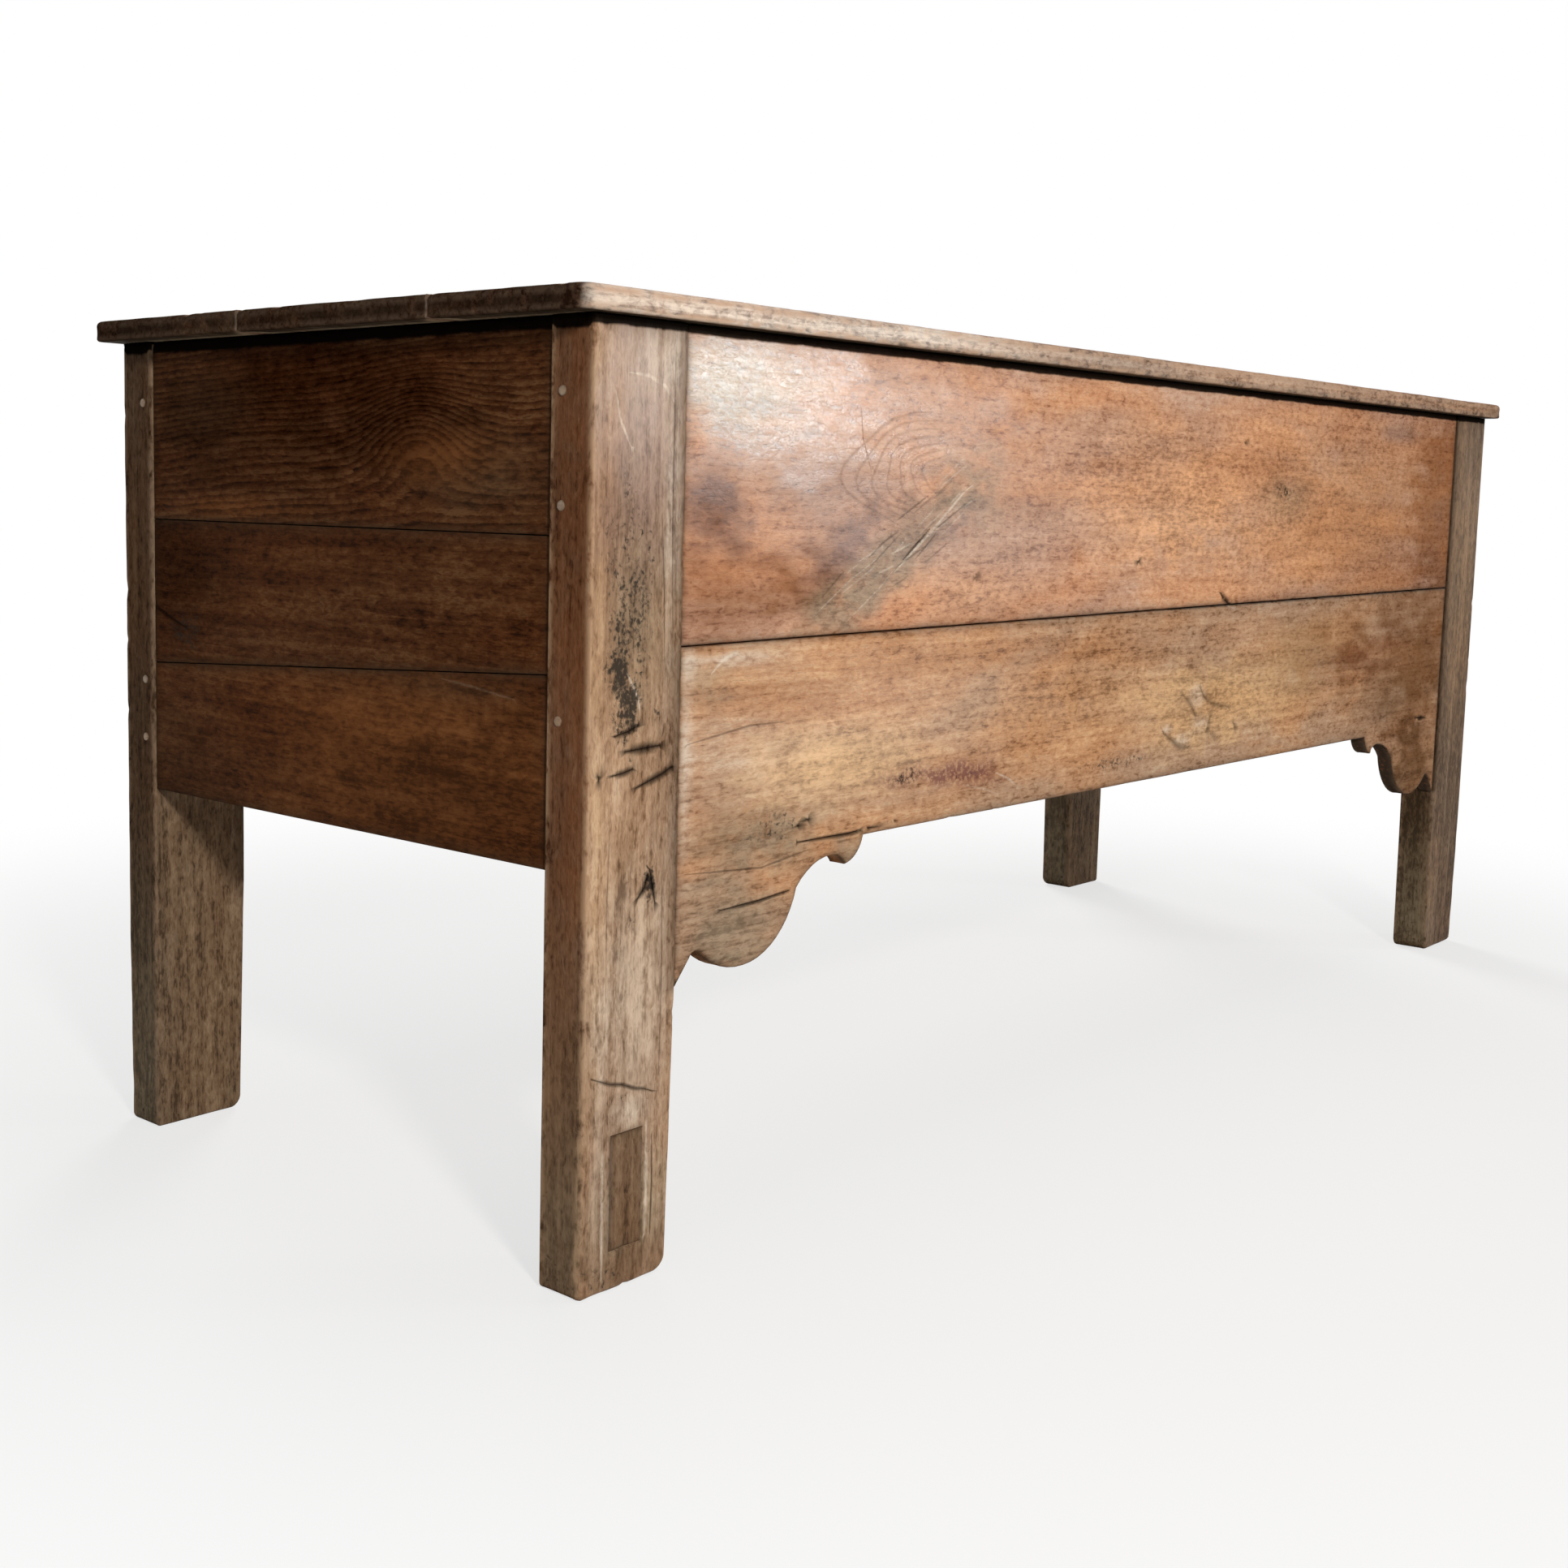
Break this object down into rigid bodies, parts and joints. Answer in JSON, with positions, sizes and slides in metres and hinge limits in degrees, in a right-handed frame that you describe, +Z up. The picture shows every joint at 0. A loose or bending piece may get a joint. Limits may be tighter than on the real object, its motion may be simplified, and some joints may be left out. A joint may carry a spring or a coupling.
{
  "type": "plank chest",
  "caption": "Long plank chest with a lift lid on strap hinges, flat stile legs and a lower front board sawn into scrolled brackets, in worn waxed wood.",
  "frame": {"origin": "on the floor, under the middle of the lid", "axes": "+X along the length, to the right of someone facing the front; +Y from front to back; +Z up"},
  "size_m": [1.912, 0.678, 0.8],
  "materials": {
    "leg_wood": "worn waxed wood, speckled",
    "front_wood": "waxed wood with a soft shine",
    "end_wood": "dark waxed wood",
    "lid_wood": "waxed wood with worn edges",
    "inner_wood": "dry unfinished wood",
    "peg_wood": "pale end grain",
    "patch_wood": "waxed wood, darker",
    "forged_iron": "dark forged iron, matt"
  },
  "bodies": {
    "carcass": {"leg_front_left": "leg_wood", "leg_front_right": "leg_wood", "leg_rear_left": "leg_wood", "leg_rear_right": "leg_wood", "leg_patch": "patch_wood", "front_board_upper": "front_wood", "front_board_lower": "front_wood", "end_board_left_lower": "end_wood", "end_board_left_middle": "end_wood", "end_board_left_upper": "end_wood", "end_board_right_lower": "end_wood", "end_board_right_middle": "end_wood", "end_board_right_upper": "end_wood", "end_pegs_left": "peg_wood", "end_pegs_right": "peg_wood", "back_board_lower": "inner_wood", "back_board_middle": "inner_wood", "back_board_upper": "inner_wood", "ledger_front": "inner_wood", "ledger_rear": "inner_wood", "floor_board_1": "inner_wood", "floor_board_2": "inner_wood", "floor_board_3": "inner_wood", "floor_board_4": "inner_wood", "floor_board_5": "inner_wood", "floor_board_6": "inner_wood", "floor_board_7": "inner_wood", "hinge_leaf_left": "forged_iron", "hinge_leaf_right": "forged_iron", "hinge_pin_left": "forged_iron", "hinge_pin_right": "forged_iron", "leaf_nails": "forged_iron", "floor_nails": "forged_iron", "ledger_nails": "forged_iron"},
    "lid": {"lid_board_front": "lid_wood", "lid_board_middle": "lid_wood", "lid_board_rear": "lid_wood", "lid_batten_left": "inner_wood", "lid_batten_middle": "inner_wood", "lid_batten_right": "inner_wood", "hinge_strap_left": "forged_iron", "hinge_strap_right": "forged_iron", "strap_nails": "forged_iron", "batten_nails": "forged_iron"}
  },
  "joints": [
    {"name": "lid_hinge", "type": "hinge", "parent": "carcass", "child": "lid", "pos_m": [0, 0.3284, 0.7736], "axis": [-1, 0, 0], "range_deg": [0, 100]}
  ]
}
